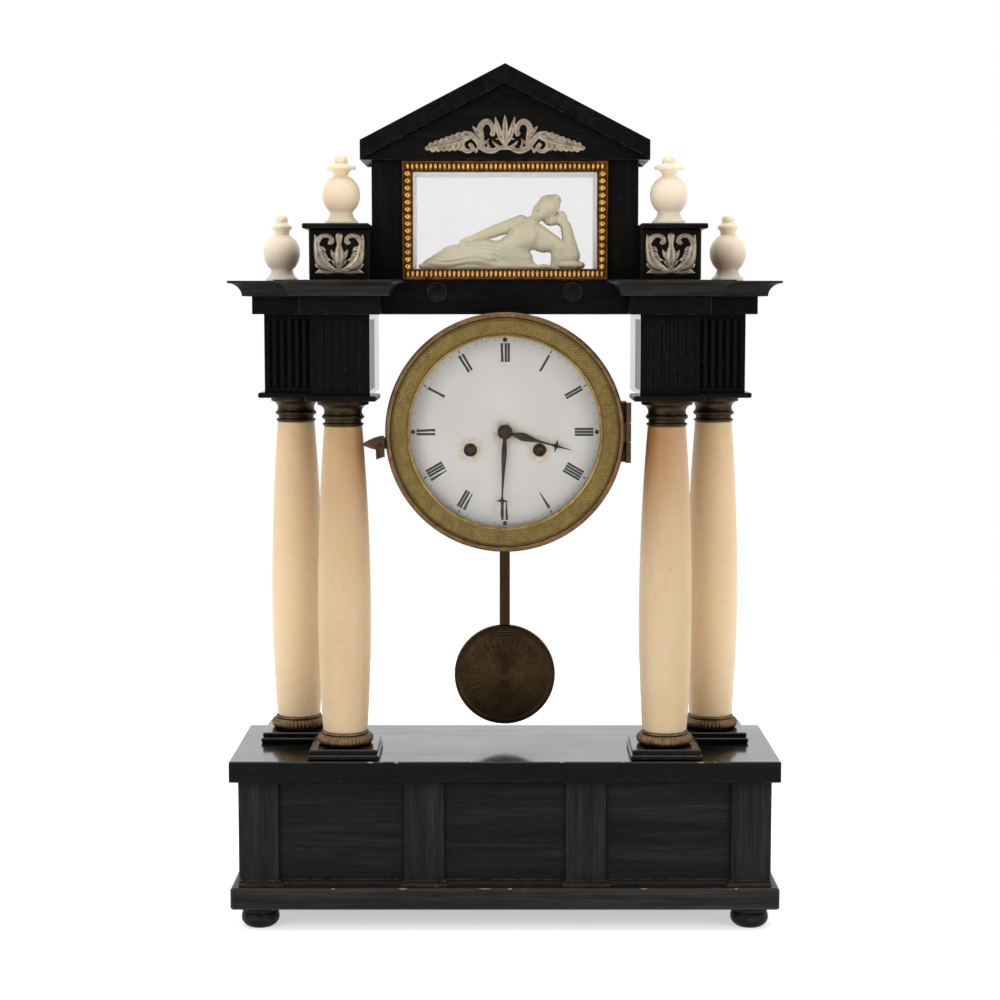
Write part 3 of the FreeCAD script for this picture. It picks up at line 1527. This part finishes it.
# Pendulum on its cock, and the bell on its post
def make_pendulum():
    plate_back = behind(front_plate_setback + plate_thickness * 2 + plate_spacing)
    hang = dial_height + pallet_rise
    rod_front = behind(rod_setback)
    eye_length = rod_thickness + part_gap * 8
    eye_start = rod_front + rod_thickness / 2 - eye_length / 2
    lug_start = eye_start - part_gap - cock_thickness
    lug_end = eye_start + eye_length + part_gap + cock_thickness
    half = rod_width / 2
    strip = box("rod_strip", (-half, half), (rod_front, rod_front + rod_thickness), (bob_height, hang))
    eye = rod("rod_eye", half, eye_length, (zero, eye_start, hang))
    trunnion = rod("rod_trunnion", trunnion_radius, lug_end - lug_start, (zero, lug_start, hang))
    bob_start = rod_front + rod_thickness / 2 - bob_thickness / 2
    bob_slot = box("bob_slot_for_rod", (-half, half), (rod_front, rod_front + rod_thickness),
                   (bob_height, hang))
    keep(join("rod_joined", [strip, eye, trunnion]), "pendulum_rod")
    rise = bob_thickness / 2 - bob_rim / 2
    face = bob_radius - bob_rim / 2
    dome = (face * face + rise * rise) / (rise * 2)
    disc = turned(
        "bob_disc",
        [
            (zero, zero),
            (face, rise, dome, 1),
            (bob_radius, bob_thickness / 2, bob_rim, 1),
            (face, bob_thickness - rise, bob_rim, 1),
            (zero, bob_thickness, dome, 1),
        ],
        axis="back",
    )
    place(disc, zero, bob_start, bob_height)
    keep(cut("bob_cut", disc, [bob_slot]), "pendulum_bob")

    cock_half = cock_width / 2
    roof = hang + half + part_gap
    foot = box("cock_foot", (-cock_half, cock_half), (plate_back, plate_back + cock_thickness),
               (roof, roof + cock_thickness * 2))
    arm = box("cock_arm", (-cock_half, cock_half), (plate_back, lug_end), (roof, roof + cock_thickness))
    lugs = []
    for name, start in (("near", lug_start), ("far", lug_end - cock_thickness)):
        lugs.append(box(f"cock_lug_{name}", (-half, half), (start, start + cock_thickness), (hang - half, roof)))
    bearing = rod("cock_bearing", trunnion_radius + running_gap, slab_depth, (zero, plate_back, hang))
    keep(cut("cock_cut", join("cock_joined", [foot, arm] + lugs), [bearing]), "suspension_cock")

    bell_up = dial_height + bell_rise
    bell_front = behind(bell_setback)
    lip = bell_radius - bell_wall
    crown_share, curve_share = 0.45, 1.15
    crown = bell_radius * crown_share
    curve = bell_depth * curve_share
    bell = turned(
        "bell_cup",
        [
            (lip, zero, curve, -1),
            (bell_radius, zero),
            (crown, bell_depth, curve, 1),
            (pivot_radius * 2, bell_depth),
            (pivot_radius * 2, bell_depth - bell_wall),
            (crown - bell_wall / 2, bell_depth - bell_wall),
        ],
        axis="back",
    )
    place(bell, zero, bell_front, bell_up)
    keep(bell, "bell")
    bell_back = bell_front + bell_depth
    stand_drop = dial_height - post_drop
    post = rod("bell_post", post_radius, bell_back + cock_thickness - plate_back, (post_x, plate_back, stand_drop))
    eye_share = 1.6
    eye = post_radius * eye_share
    outline = [
        (-eye, bell_up - eye),
        (post_x - eye, stand_drop - eye),
        (post_x + eye, stand_drop - eye),
        (post_x + eye, stand_drop + eye),
        (eye, bell_up + eye),
        (-eye, bell_up + eye),
    ]
    arm = padded("bell_arm", outline, cock_thickness, facing="front")
    bind(arm, "Placement.Base.y", bell_back)
    screw = rod("bell_screw", pivot_radius * 2, bell_wall + cock_thickness, (zero, bell_back - bell_wall, bell_up))
    keep(join("stand_joined", [post, arm, screw]), "bell_stand")


make_feet()
make_base()
make_columns()
make_frieze()
make_entablature()
make_attic()
make_gable()
make_dados()
make_drum()
make_bezel()
make_catch()
make_hands()
make_movement()
make_pendulum()
doc.recompute()

# Write every piece that came out sound
faults = []
for thing in doc.Objects:
    if any(word in ("Invalid", "Error") for word in thing.State):
        faults.append(f"{thing.Label}: {thing.State}")
for thing in node_objects:
    if thing.Shape.isNull() or not thing.Shape.isValid() or not thing.Shape.Solids:
        faults.append(f"{thing.Label}: shape is not sound")
if faults:
    raise RuntimeError("; ".join(faults))
for thing in node_objects:
    thing.Shape.exportStep(f"parts/{thing.Label}.step")
